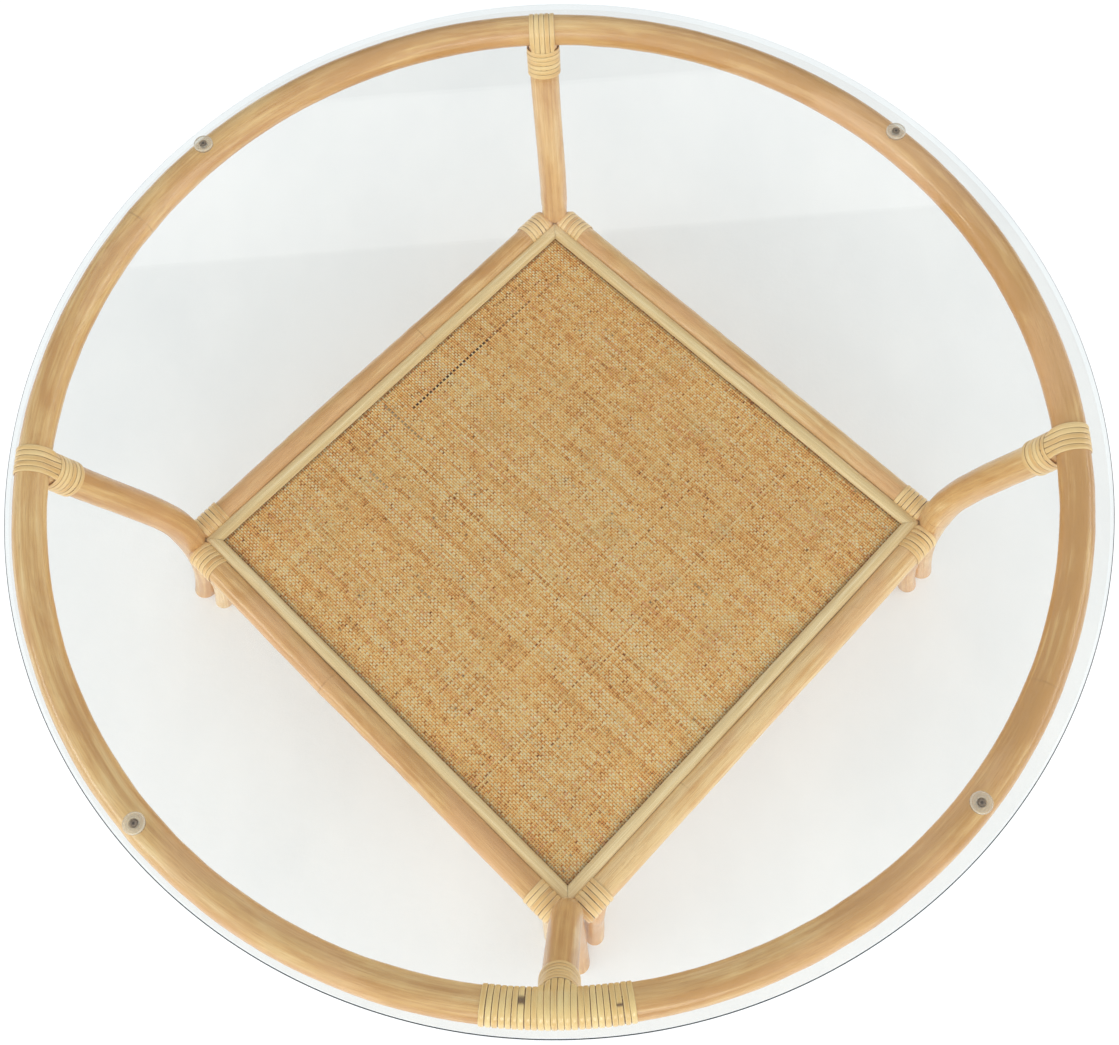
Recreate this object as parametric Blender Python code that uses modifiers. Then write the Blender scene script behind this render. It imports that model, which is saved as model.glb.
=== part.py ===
"""Round coffee table: a loose glass disc on a bent rattan hoop, four bowed legs
and a square woven shelf held by four rails and four arched braces.

Metres, +Z up. The origin is on the floor below the middle of the outline. The
legs stand on the X and Y axes, so the shelf's sides run at 45 degrees.
"""
import math

import bmesh
import bpy
from mathutils import Matrix
from mathutils import Vector

NAME = "wicker_coffee_table"
GAP = 0.0003
MERGE_DISTANCE = 0.00005
AXIS_MERGE_DISTANCE = 0.00001

# Where the three stacked parts sit in plan. The frame is bent by hand, so the
# hoop leans a few millimetres off the base, and the loose glass lies off both.
BASE_CENTRE = Vector((0.0028, 0.0045, 0.0))
HOOP_CENTRE = Vector((-0.0029, 0.0034, 0.0))
GLASS_CENTRE = Vector((0.0022, -0.0022, 0.0))

# Glass
GLASS_TOP_Z = 0.407
GLASS_THICKNESS = 0.008
GLASS_RADIUS = 0.4572
GLASS_EDGE_ROUND = 0.0022
GLASS_SIDES = 72

# Clear bumpers and the nails through them
BUMPER_RADIUS = 0.009
BUMPER_ROOM = 0.004
BUMPER_HOLE_RADIUS = 0.0016
BUMPER_RECESS_RADIUS = 0.0036
BUMPER_RECESS_DEPTH = 0.0014
BUMPER_CHAMFER = 0.0007
BUMPER_SIDES = 20
BUMPER_ANGLES = {"back_left": 135.5, "front_left": 223.6, "front_right": 316.8, "back_right": 43.0}
NAIL_HEAD_RADIUS = 0.0031
NAIL_HEAD_HEIGHT = 0.0009
NAIL_SHANK_RADIUS = 0.0011
NAIL_LENGTH = 0.014
NAIL_LIFT = 0.0001
NAIL_SIDES = 12

# Hoop
HOOP_RADIUS = 0.4424
HOOP_POLE_RADIUS = 0.0139
HOOP_SIDES = 96
HOOP_POLE_SIDES = 12
SADDLE_SIDES = 24
HOOP_Z = GLASS_TOP_Z - GLASS_THICKNESS - BUMPER_ROOM - HOOP_POLE_RADIUS

# Legs: distance of the centre line from the frame's axis, waisted at the shelf.
# Each is bent by hand, so the front one's waist is tighter and two feet stray.
LEG_RADIUS = 0.0143
FOOT_RADIUS = 0.012
WAIST_Z = 0.2025
WAIST_REACH = 0.377
FRONT_WAIST_TIGHTER = 0.003
FOOT_STRAY = {"left": Vector((-0.0045, -0.003, 0.0)), "front": Vector((0.007, -0.008, 0.0))}
TOP_TURN = {"right": -0.5}
LEG_BULGE = {"left": 0.004}
FOOT_REACH = 0.4071
LEG_CURL = 0.856
LEG_STRAIGHT_Z = 0.331
LEG_END_SHORT_OF_HOOP = 0.006
LEG_STATIONS = 17
BELOW_FLOOR = 0.012
FLOOR_CUTTER_SIZE = Vector((1.2, 1.2, 0.2))
NOTCH_CLEARANCE = 0.0006
SADDLE_CLEARANCE = 0.00045
POLE_CURVE_RESOLUTION = 4
LEG_ANGLES = {"right": 0.0, "back": 90.0, "left": 180.0, "front": 270.0}

# Shelf rails
RAIL_RADIUS = 0.0135
RAIL_DISTANCE = 0.270
RAIL_Z = 0.1555
RAIL_SIDES = 16
RAIL_END_FROM_CORNER = 0.0138
SIDE_ANGLES = {"back_right": 45.0, "back_left": 135.0, "front_left": 225.0, "front_right": 315.0}

# Arched braces below the rails
BRACE_RADIUS = 0.0102
BRACE_REACH = 0.3605
BRACE_FOOT_REACH = 0.3891
BRACE_ASIDE = 0.0175
BRACE_ASIDE_WIDE = 0.0245
WIDE_BRACE_FOOT = ("front_right", "front")
BRACE_BEND_Z = 0.075
BRACE_RUN_Z = 0.1317
BRACE_RUN_DISTANCE = 0.262

# Woven shelf
SLAT_CREST_Z = 0.165
SLAT_HEIGHT = 0.006
SLAT_WIDTH = 0.0137
SLAT_OUTER = 0.2592
SLAT_ROUND = 0.0045
SHOULDER_CLEARANCE = 0.0006
WEAVE_HALF_SIDE = 0.250
WEAVE_THICKNESS = 0.002
BOARD_HALF_SIDE = 0.255
BOARD_THICKNESS = 0.006

# Wound bindings of split peel
PEEL_GROOVE = 0.0005
RAIL_BINDING_INNER = 0.0138
RAIL_BINDING_OUTER = 0.0147
RAIL_BINDING_START = 0.016
RAIL_BINDING_LENGTH = 0.030
RAIL_BINDING_TURNS = 6
COLLAR_INNER = 0.0149
COLLAR_OUTER = 0.0166
COLLAR_START = 0.016
COLLAR_LENGTH = 0.0265
COLLAR_TURNS = 6
COLLAR_SIDES = 16
STRAP_INNER = 0.01445
STRAP_THICKNESS = 0.0012
STRAP_WIDTH = 0.0245
STRAP_STRANDS = 5
STRAP_HALF_OPENING = 71.0
STRAP_SIDES = 10
SPLICE_LENGTH = 0.113
SPLICE_TURNS = 24
SPLICE_SIDES = 12


def clear_scene():
    for obj in list(bpy.data.objects):
        bpy.data.objects.remove(obj, do_unlink=True)


def new_collection(name):
    collection = bpy.data.collections.new(name)
    bpy.context.scene.collection.children.link(collection)
    return collection


def move_to(obj, collection):
    for owner in list(obj.users_collection):
        owner.objects.unlink(obj)
    collection.objects.link(obj)


def material(name, colour, roughness, metallic=0.0, transmission=0.0):
    mat = bpy.data.materials.new(name)
    mat.use_nodes = True
    shader = mat.node_tree.nodes["Principled BSDF"]
    shader.inputs["Base Color"].default_value = (*colour, 1.0)
    shader.inputs["Roughness"].default_value = roughness
    shader.inputs["Metallic"].default_value = metallic
    shader.inputs["Transmission Weight"].default_value = transmission
    mat.diffuse_color = (*colour, 1.0)
    return mat


def finish(obj, name, look, smooth=True):
    """Name the piece, give it its own material and shade it."""
    obj.name = name
    obj.data.name = name
    colour, roughness, metallic, transmission = LOOKS[look]
    obj.data.materials.clear()
    obj.data.materials.append(material(name + "_" + look, colour, roughness, metallic, transmission))
    move_to(obj, PARTS)
    if smooth:
        obj.data.shade_smooth()
    return obj


def as_cutter(obj, name):
    obj.name = name
    obj.hide_render = True
    obj.display_type = "WIRE"
    move_to(obj, CUTTERS)
    return obj


def cut(obj, cutter):
    modifier = obj.modifiers.new("cut_" + cutter.name, "BOOLEAN")
    modifier.operation = "DIFFERENCE"
    modifier.object = cutter
    return modifier


def mesh_object(name, bm):
    mesh = bpy.data.meshes.new(name)
    bm.to_mesh(mesh)
    bm.free()
    obj = bpy.data.objects.new(name, mesh)
    bpy.context.scene.collection.objects.link(obj)
    return obj


def tube(name, points, radii):
    """A round pole along points with a radius at each, as a closed mesh."""
    curve = bpy.data.curves.new(name + "_path", "CURVE")
    curve.dimensions = "3D"
    curve.bevel_depth = 1.0
    curve.bevel_resolution = POLE_CURVE_RESOLUTION
    curve.use_fill_caps = True
    spline = curve.splines.new("POLY")
    spline.points.add(len(points) - 1)
    for knot, point, radius in zip(spline.points, points, radii):
        knot.co = (*point, 1.0)
        knot.radius = radius
    holder = bpy.data.objects.new(name + "_path", curve)
    bpy.context.scene.collection.objects.link(holder)
    graph = bpy.context.evaluated_depsgraph_get()
    mesh = bpy.data.meshes.new_from_object(holder.evaluated_get(graph))
    bm = bmesh.new()
    bm.from_mesh(mesh)
    bmesh.ops.remove_doubles(bm, verts=bm.verts, dist=MERGE_DISTANCE)
    bmesh.ops.recalc_face_normals(bm, faces=bm.faces)
    bm.to_mesh(mesh)
    bm.free()
    obj = bpy.data.objects.new(name, mesh)
    obj.matrix_world = holder.matrix_world
    bpy.context.scene.collection.objects.link(obj)
    bpy.data.objects.remove(holder, do_unlink=True)
    return obj


def turned(name, profile, steps, closed):
    """Turn a profile of (radius, height) points about the object's own Z axis."""
    bm = bmesh.new()
    verts = [bm.verts.new((radius, 0.0, height)) for radius, height in profile]
    for first, second in zip(verts, verts[1:]):
        bm.edges.new((first, second))
    if closed:
        bm.edges.new((verts[-1], verts[0]))
    obj = mesh_object(name, bm)
    screw = obj.modifiers.new("turn", "SCREW")
    screw.axis = "Z"
    screw.steps = steps
    screw.render_steps = steps
    screw.use_merge_vertices = True
    screw.merge_threshold = AXIS_MERGE_DISTANCE
    return obj


def direction(angle):
    """Unit vector in plan at an angle in degrees."""
    return Vector((math.cos(math.radians(angle)), math.sin(math.radians(angle)), 0.0))


def aim(obj, start, axis):
    """Put the object's origin at start and its own Z axis along axis."""
    obj.location = start
    obj.rotation_euler = axis.to_track_quat("Z", "Y").to_euler()


def leg_centre(place, height):
    """Point of a leg's centre line: bowed out above the waist and below it."""
    angle = LEG_ANGLES[place]
    waist = WAIST_REACH - (FRONT_WAIST_TIGHTER if place == "front" else 0.0)
    if height < WAIST_Z:
        drop = (WAIST_Z - height) / WAIST_Z
        reach = waist + (FOOT_REACH - waist) * drop * drop
        point = BASE_CENTRE + direction(angle) * reach
        point += FOOT_STRAY.get(place, Vector()) * drop * drop
    else:
        rise = (height - WAIST_Z) / (HOOP_Z - WAIST_Z)
        bow = (1.0 + LEG_CURL) * rise ** 2 - LEG_CURL * rise ** 3
        share = rise * rise * (3.0 - 2.0 * rise)
        middle = BASE_CENTRE.lerp(HOOP_CENTRE, share)
        bulge = 16.0 * rise ** 2 * (1.0 - rise) ** 2
        reach = waist + (HOOP_RADIUS - waist) * bow + LEG_BULGE.get(place, 0.0) * bulge
        point = middle + direction(angle + share * TOP_TURN.get(place, 0.0)) * reach
    point.z = height
    return point


def leg_top_angle(place):
    return LEG_ANGLES[place] + TOP_TURN.get(place, 0.0)


def leg_top(place):
    """Where the leg's centre line meets the hoop's, and the way it runs there."""
    top = HOOP_CENTRE + direction(leg_top_angle(place)) * HOOP_RADIUS
    top.z = HOOP_Z
    way = (top - leg_centre(place, LEG_STRAIGHT_Z)).normalized()
    return top, way


def leg_radius(height):
    """The pole's radius, which tapers from the waist to the foot."""
    return LEG_RADIUS - (LEG_RADIUS - FOOT_RADIUS) * max(0.0, (WAIST_Z - height) / WAIST_Z)


def leg_tube(name, place, extra=0.0):
    span = LEG_STRAIGHT_Z + BELOW_FLOOR
    heights = [-BELOW_FLOOR + span * i / (LEG_STATIONS - 1) for i in range(LEG_STATIONS)]
    points = [leg_centre(place, height) for height in heights]
    top, way = leg_top(place)
    points.append(top - way * LEG_END_SHORT_OF_HOOP)
    radii = [leg_radius(height) + extra for height in heights + [LEG_STRAIGHT_Z]]
    return tube(name, points, radii)


def side_point(angle, along, out, height):
    """A point beside one shelf edge: along it from its middle, out from the axis."""
    outward = direction(angle)
    sideways = direction(angle + 90.0)
    point = BASE_CENTRE + outward * out + sideways * along
    point.z = height
    return point


def brace_half(aside):
    """Half of a brace's centre line as (along, out, height), floor to middle."""
    half = math.sqrt(0.5)
    stations = []
    straight = 5
    for i in range(straight):
        height = -BELOW_FLOOR + (BRACE_BEND_Z + BELOW_FLOOR) * i / (straight - 1)
        drop = (WAIST_Z - height) / WAIST_Z
        reach = BRACE_REACH + (BRACE_FOOT_REACH - BRACE_REACH) * drop * drop
        stations.append(((reach - aside) * half, (reach + aside) * half, height))
    start_along, start_out, _ = stations[-1]
    bend = BRACE_RUN_Z - BRACE_BEND_Z
    bend_steps = 6
    for i in range(1, bend_steps + 1):
        turn = 0.5 * math.pi * i / bend_steps
        along = start_along - bend * (1.0 - math.cos(turn))
        blend = i / bend_steps
        out = start_out + (BRACE_RUN_DISTANCE - start_out) * blend * blend * (3.0 - 2.0 * blend)
        stations.append((along, out, BRACE_BEND_Z + bend * math.sin(turn)))
    return stations


def ribbed_profile(inner, outer, length, turns):
    """Closed (radius, height) outline of a wound sleeve, one ridge per turn."""
    pitch = length / turns
    profile = []
    for turn in range(turns):
        top = length - turn * pitch
        profile.append((outer - PEEL_GROOVE, top))
        profile.append((outer, top - 0.5 * pitch))
    profile.append((outer - PEEL_GROOVE, 0.0))
    profile.append((inner, 0.0))
    profile.append((inner, length))
    return profile


def round_hoop_patch(name, middle_angle, length, strands, start_turn, end_turn, sides, closed):
    """A ribbed layer laid round the hoop's pole, one ridge per strand.

    The turns are degrees about the pole: 0 points away from the frame's axis
    and 90 points up.
    """
    bm = bmesh.new()
    rows = strands * 2
    bmesh.ops.create_grid(bm, x_segments=rows, y_segments=sides, size=0.5)
    span = math.degrees(length / HOOP_RADIUS)
    for vert in bm.verts:
        row = round((vert.co.x + 0.5) * rows)
        ridge = PEEL_GROOVE if row % 2 else 0.0
        radius = STRAP_INNER + STRAP_THICKNESS - PEEL_GROOVE + ridge
        turn = math.radians(start_turn + (end_turn - start_turn) * (vert.co.y + 0.5))
        angle = middle_angle + span * vert.co.x
        reach = HOOP_RADIUS + radius * math.cos(turn)
        place = HOOP_CENTRE + direction(angle) * reach
        place.z = HOOP_Z + radius * math.sin(turn)
        vert.co = place
    if closed:
        bmesh.ops.remove_doubles(bm, verts=bm.verts, dist=MERGE_DISTANCE)
    bmesh.ops.recalc_face_normals(bm, faces=bm.faces)
    obj = mesh_object(name, bm)
    wall = obj.modifiers.new("peel", "SOLIDIFY")
    wall.thickness = STRAP_THICKNESS - PEEL_GROOVE
    wall.offset = towards_pole(obj)
    return obj


def towards_pole(obj):
    """The thickening side that faces the pole, found from one face's normal."""
    face = obj.data.polygons[len(obj.data.polygons) // 2]
    centre = face.center - HOOP_CENTRE
    pole = Vector((centre.x, centre.y, 0.0)).normalized() * HOOP_RADIUS
    pole.z = HOOP_Z
    outward = (centre - pole).dot(face.normal) > 0.0
    return -1.0 if outward else 1.0


def make_glass():
    bpy.ops.mesh.primitive_cylinder_add(
        vertices=GLASS_SIDES,
        radius=GLASS_RADIUS,
        depth=GLASS_THICKNESS,
        location=GLASS_CENTRE + Vector((0.0, 0.0, GLASS_TOP_Z - 0.5 * GLASS_THICKNESS)),
    )
    glass = bpy.context.object
    edge = glass.modifiers.new("polished_edge", "BEVEL")
    edge.width = GLASS_EDGE_ROUND
    edge.segments = 2
    edge.limit_method = "ANGLE"
    edge.angle_limit = math.radians(60.0)
    return finish(glass, "glass_top", "glass", smooth=False)


def torus(radius, pole_radius, pole_sides):
    bpy.ops.mesh.primitive_torus_add(
        major_radius=radius,
        minor_radius=pole_radius,
        major_segments=HOOP_SIDES,
        minor_segments=pole_sides,
        location=HOOP_CENTRE + Vector((0.0, 0.0, HOOP_Z)),
    )
    return bpy.context.object


def make_hoop():
    hoop = torus(HOOP_RADIUS, HOOP_POLE_RADIUS, HOOP_POLE_SIDES)
    for place, angle in BUMPER_ANGLES.items():
        deep = NAIL_LENGTH + 2.0 * GAP
        spot = HOOP_CENTRE + direction(angle) * HOOP_RADIUS
        spot.z = nail_head_bottom() - 0.5 * deep
        bpy.ops.mesh.primitive_cylinder_add(
            vertices=NAIL_SIDES, radius=NAIL_SHANK_RADIUS + GAP, depth=deep, location=spot
        )
        cut(hoop, as_cutter(bpy.context.object, "nail_hole_" + place))
    return finish(hoop, "hoop", "rattan_pole")


def bumper_bottom():
    return HOOP_Z + HOOP_POLE_RADIUS + GAP


def bumper_height():
    return BUMPER_ROOM - 2.0 * GAP


def nail_head_bottom():
    return bumper_bottom() + bumper_height() - BUMPER_RECESS_DEPTH + NAIL_LIFT


def make_bumpers():
    height = bumper_height()
    outline = [
        (BUMPER_RECESS_RADIUS, height),
        (BUMPER_RADIUS - BUMPER_CHAMFER, height),
        (BUMPER_RADIUS, height - BUMPER_CHAMFER),
        (BUMPER_RADIUS, 0.0),
        (BUMPER_HOLE_RADIUS, 0.0),
        (BUMPER_HOLE_RADIUS, height - BUMPER_RECESS_DEPTH),
        (BUMPER_RECESS_RADIUS, height - BUMPER_RECESS_DEPTH),
    ]
    nail_outline = [
        (0.0, NAIL_HEAD_HEIGHT),
        (0.7 * NAIL_HEAD_RADIUS, 0.85 * NAIL_HEAD_HEIGHT),
        (NAIL_HEAD_RADIUS, 0.35 * NAIL_HEAD_HEIGHT),
        (NAIL_HEAD_RADIUS, 0.0),
        (NAIL_SHANK_RADIUS, 0.0),
        (NAIL_SHANK_RADIUS, -0.8 * NAIL_LENGTH),
        (0.0, -NAIL_LENGTH),
    ]
    for place, angle in BUMPER_ANGLES.items():
        spot = HOOP_CENTRE + direction(angle) * HOOP_RADIUS
        bumper = turned("bumper", outline, BUMPER_SIDES, closed=True)
        bumper.location = Vector((spot.x, spot.y, bumper_bottom()))
        finish(bumper, "bumper_" + place, "clear_plastic", smooth=False)
        nail = turned("nail", nail_outline, NAIL_SIDES, closed=False)
        nail.location = Vector((spot.x, spot.y, nail_head_bottom()))
        finish(nail, "bumper_nail_" + place, "dark_steel", smooth=False)


def make_legs():
    """The legs, and for each a slightly fatter copy that notches its neighbours."""
    saddle = as_cutter(torus(HOOP_RADIUS, HOOP_POLE_RADIUS + SADDLE_CLEARANCE, SADDLE_SIDES), "hoop_saddle")
    bpy.ops.mesh.primitive_cube_add(size=1.0, location=(0.0, 0.0, -0.5 * FLOOR_CUTTER_SIZE.z))
    floor = as_cutter(bpy.context.object, "below_floor")
    floor.scale = FLOOR_CUTTER_SIZE
    notches = {}
    for place in LEG_ANGLES:
        leg = leg_tube("leg", place)
        cut(leg, saddle)
        cut(leg, floor)
        finish(leg, "leg_" + place, "rattan_pole")
        fat = leg_tube("leg_notch", place, extra=NOTCH_CLEARANCE)
        notches[place] = as_cutter(fat, "leg_notch_" + place)
    return notches, floor


def neighbours(side_angle):
    """Names of the legs at a shelf side's two ends, in turning order."""
    by_angle = {angle: place for place, angle in LEG_ANGLES.items()}
    return [by_angle[(side_angle + turn) % 360.0] for turn in (-45.0, 45.0)]


def make_rails(notches):
    length = 2.0 * (RAIL_DISTANCE - RAIL_END_FROM_CORNER)
    sleeve = ribbed_profile(RAIL_BINDING_INNER, RAIL_BINDING_OUTER, RAIL_BINDING_LENGTH, RAIL_BINDING_TURNS)
    for place, angle in SIDE_ANGLES.items():
        along = direction(angle + 90.0)
        bpy.ops.mesh.primitive_cylinder_add(vertices=RAIL_SIDES, radius=RAIL_RADIUS, depth=length)
        rail = bpy.context.object
        aim(rail, side_point(angle, 0.0, RAIL_DISTANCE, RAIL_Z), along)
        for leg in neighbours(angle):
            cut(rail, notches[leg])
        finish(rail, "rail_" + place, "rattan_pole")
        for end, sign in (("a", -1.0), ("b", 1.0)):
            binding = turned("binding", sleeve, RAIL_SIDES, closed=True)
            start = sign * (RAIL_DISTANCE - RAIL_BINDING_START)
            if sign > 0.0:
                start -= RAIL_BINDING_LENGTH
            aim(binding, side_point(angle, start, RAIL_DISTANCE, RAIL_Z), along)
            for leg in neighbours(angle):
                cut(binding, notches[leg])
            finish(binding, "rail_binding_" + place + "_" + end, "split_peel")


def make_braces(floor):
    for place, angle in SIDE_ANGLES.items():
        points = []
        for leg, sign in zip(neighbours(angle), (-1.0, 1.0)):
            aside = BRACE_ASIDE_WIDE if (place, leg) == WIDE_BRACE_FOOT else BRACE_ASIDE
            half = [side_point(angle, sign * along, out, height) for along, out, height in brace_half(aside)]
            points += half if sign < 0.0 else half[::-1]
        brace = tube("brace", points, [BRACE_RADIUS] * len(points))
        cut(brace, floor)
        finish(brace, "brace_" + place, "rattan_pole")


def rail_shoulder(angle, start, end, radius):
    """A cutter round a length of rail, for the moulding that lies against its shoulder."""
    bpy.ops.mesh.primitive_cylinder_add(
        vertices=RAIL_SIDES, radius=radius + SHOULDER_CLEARANCE, depth=end - start + 2.0 * SHOULDER_CLEARANCE
    )
    shoulder = bpy.context.object
    middle = side_point(angle, 0.5 * (start + end), RAIL_DISTANCE, RAIL_Z)
    aim(shoulder, middle, direction(angle + 90.0))
    return as_cutter(shoulder, "rail_shoulder")


def make_slat(place, angle, notches):
    """A half-round moulding with mitred ends, hollowed along the rail it lies against."""
    inner = SLAT_OUTER - SLAT_WIDTH
    bpy.ops.mesh.primitive_cube_add(size=1.0)
    slat = bpy.context.object
    bevel = bmesh.new()
    bevel.from_mesh(slat.data)
    weight = bevel.edges.layers.float.new("bevel_weight_edge")
    for vert in bevel.verts:
        out = SLAT_OUTER if vert.co.x > 0.0 else inner
        along = math.copysign(out - 0.5 * GAP * math.sqrt(2.0), vert.co.y)
        height = SLAT_HEIGHT if vert.co.z > 0.0 else 0.0
        vert.co = Vector((out, along, height))
    for edge in bevel.edges:
        first, second = edge.verts
        runs_along = first.co.y * second.co.y < 0.0
        if runs_along and first.co.z > 0.0 and second.co.z > 0.0:
            edge[weight] = 1.0
    bevel.to_mesh(slat.data)
    bevel.free()
    slat.location = BASE_CENTRE + Vector((0.0, 0.0, SLAT_CREST_Z - SLAT_HEIGHT))
    slat.rotation_euler = (0.0, 0.0, math.radians(angle))
    rounding = slat.modifiers.new("half_round", "BEVEL")
    rounding.width = SLAT_ROUND
    rounding.segments = 4
    rounding.limit_method = "WEIGHT"
    half = RAIL_DISTANCE - RAIL_END_FROM_CORNER
    cut(slat, rail_shoulder(angle, -half, half, RAIL_RADIUS))
    far = RAIL_DISTANCE - RAIL_BINDING_START
    near = far - RAIL_BINDING_LENGTH
    cut(slat, rail_shoulder(angle, near, far, RAIL_BINDING_OUTER))
    cut(slat, rail_shoulder(angle, -far, -near, RAIL_BINDING_OUTER))
    for leg in neighbours(angle):
        cut(slat, notches[leg])
    return finish(slat, "slat_" + place, "cream_cane", smooth=False)


def square_sheet(name, half_side, thickness, top, look):
    bpy.ops.mesh.primitive_cube_add(size=1.0)
    sheet = bpy.context.object
    sheet.data.transform(Matrix.Diagonal((2.0 * half_side, 2.0 * half_side, thickness, 1.0)))
    sheet.location = BASE_CENTRE + Vector((0.0, 0.0, top - 0.5 * thickness))
    sheet.rotation_euler = (0.0, 0.0, math.radians(45.0))
    return finish(sheet, name, look, smooth=False)


def make_shelf(notches):
    for place, angle in SIDE_ANGLES.items():
        make_slat(place, angle, notches)
    weave_top = SLAT_CREST_Z - SLAT_HEIGHT - GAP
    square_sheet("woven_panel", WEAVE_HALF_SIDE, WEAVE_THICKNESS, weave_top, "woven_cane")
    board_top = weave_top - WEAVE_THICKNESS - GAP
    board = square_sheet("shelf_board", BOARD_HALF_SIDE, BOARD_THICKNESS, board_top, "plywood")
    for notch in notches.values():
        cut(board, notch)


def make_hoop_bindings(notches):
    collar_outline = ribbed_profile(COLLAR_INNER, COLLAR_OUTER, COLLAR_LENGTH, COLLAR_TURNS)
    for place in LEG_ANGLES:
        angle = leg_top_angle(place)
        top, way = leg_top(place)
        collar = turned("collar", collar_outline, COLLAR_SIDES, closed=True)
        aim(collar, top - way * (COLLAR_START + COLLAR_LENGTH), way)
        finish(collar, "leg_collar_" + place, "split_peel")
        if place == "front":
            continue
        down = math.degrees(math.atan2(-way.z, -way.dot(direction(angle))))
        start_turn = down + STRAP_HALF_OPENING
        end_turn = down + 360.0 - STRAP_HALF_OPENING
        strap = round_hoop_patch(
            "strap", angle, STRAP_WIDTH, STRAP_STRANDS, start_turn, end_turn, STRAP_SIDES, closed=False
        )
        finish(strap, "hoop_strap_" + place, "split_peel")
    front = LEG_ANGLES["front"]
    splice = round_hoop_patch(
        "splice", front, SPLICE_LENGTH, SPLICE_TURNS, 0.0, 360.0, SPLICE_SIDES, closed=True
    )
    cut(splice, notches["front"])
    finish(splice, "hoop_splice_binding", "split_peel")


LOOKS = {
    "glass": ((0.80, 0.88, 0.86), 0.02, 0.0, 0.95),
    "clear_plastic": ((0.85, 0.87, 0.86), 0.15, 0.0, 0.6),
    "dark_steel": ((0.10, 0.09, 0.08), 0.45, 0.8, 0.0),
    "rattan_pole": ((0.58, 0.34, 0.15), 0.35, 0.0, 0.0),
    "split_peel": ((0.76, 0.55, 0.28), 0.35, 0.0, 0.0),
    "cream_cane": ((0.70, 0.58, 0.34), 0.40, 0.0, 0.0),
    "woven_cane": ((0.58, 0.36, 0.15), 0.60, 0.0, 0.0),
    "plywood": ((0.60, 0.44, 0.26), 0.70, 0.0, 0.0),
}

clear_scene()
PARTS = new_collection(NAME)
CUTTERS = new_collection("cutters")
make_glass()
make_hoop()
make_bumpers()
LEG_NOTCHES, FLOOR_CUTTER = make_legs()
make_rails(LEG_NOTCHES)
make_braces(FLOOR_CUTTER)
make_shelf(LEG_NOTCHES)
make_hoop_bindings(LEG_NOTCHES)
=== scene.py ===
"""Round glass coffee table on a rattan frame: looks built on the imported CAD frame."""
import math

import bpy
import numpy as np
from mathutils import Matrix, Vector


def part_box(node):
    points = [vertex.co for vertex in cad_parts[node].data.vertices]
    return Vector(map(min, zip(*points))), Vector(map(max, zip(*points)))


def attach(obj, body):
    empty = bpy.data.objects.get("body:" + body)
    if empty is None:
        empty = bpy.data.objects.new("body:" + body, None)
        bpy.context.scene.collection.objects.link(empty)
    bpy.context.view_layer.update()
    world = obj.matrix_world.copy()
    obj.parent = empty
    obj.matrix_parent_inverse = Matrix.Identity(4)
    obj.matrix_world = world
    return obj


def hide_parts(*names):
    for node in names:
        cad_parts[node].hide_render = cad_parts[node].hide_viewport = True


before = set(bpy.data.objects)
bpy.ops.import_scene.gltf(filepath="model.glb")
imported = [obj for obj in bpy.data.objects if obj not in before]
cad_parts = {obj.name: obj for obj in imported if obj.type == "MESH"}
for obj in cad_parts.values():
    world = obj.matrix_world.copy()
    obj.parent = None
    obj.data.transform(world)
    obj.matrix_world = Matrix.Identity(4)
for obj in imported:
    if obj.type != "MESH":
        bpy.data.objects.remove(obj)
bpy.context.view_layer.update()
RNG = np.random.default_rng(2209)

# Frame dimensions shared with the CAD source, in metres
HOOP_RADIUS = 0.4424
HOOP_POLE = 0.0139
HOOP_STATIONS = 900
HOOP_NODE_RINGS = (0.17, 0.66)
LEG_POLE = 0.0143
FOOT_POLE = 0.012
WAIST_Z = 0.2025
WAIST_REACH = 0.377
FRONT_WAIST_TIGHTER = 0.003
FOOT_REACH = 0.4071
FOOT_STRAY = {"left": (-0.0045, -0.003, 0.0), "front": (0.007, -0.008, 0.0)}
TOP_TURN = {"right": -0.5}
LEG_BULGE = {"left": 0.004}
LEG_CURL = 0.856
LEG_STRAIGHT_Z = 0.331
LEG_END_SHORT_OF_HOOP = 0.006
LEG_TOP_STEPS = (0.33, 0.67, 1.0)
RAIL_POLE = 0.0135
RAIL_DISTANCE = 0.270
RAIL_Z = 0.1555
RAIL_END_FROM_CORNER = 0.0138
RAIL_STATIONS = 170
RAIL_SAG = 0.0006
BRACE_POLE = 0.0102
BRACE_REACH = 0.3605
BRACE_FOOT_REACH = 0.3891
BRACE_ASIDE = 0.0175
BRACE_ASIDE_WIDE = 0.0245
WIDE_BRACE_FOOT = ("front_right", "front")
BRACE_BEND_Z = 0.075
BRACE_RUN_Z = 0.1317
BRACE_RUN_DISTANCE = 0.262
SLAT_CREST_Z = 0.165
SLAT_HEIGHT = 0.006
SLAT_WIDTH = 0.0137
SLAT_OUTER = 0.2592
SLAT_COLUMNS = 15
SLAT_STATIONS = 120
MITRE_GAP = 0.00025
WEAVE_MIDDLE_Z = 0.1577
WEAVE_PITCH = 0.0025
WEAVE_STRANDS = 200
WEAVE_EDGE_SHADE = 0.0022
WEAVE_LIFT = 0.00042
STRAND_HALF_THICKNESS = 0.00034
DARK_STRAND_WIDTH = 0.0026
DARK_SPOT_CHANCE = 0.0022
# Depth of the painted shade on the weave's strands next to the slats
WEAVE_RIM_PAINTED_SHADE = 0.35
BOARD_HALF_SIDE = 0.2563
BOARD_TOP_Z = 0.1562
BOARD_THICKNESS = 0.0058
BOARD_ARRIS = 0.0006
PLY_THICKNESS = 0.0019
COLLAR_START = 0.016
COLLAR_LENGTH = 0.0265

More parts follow.
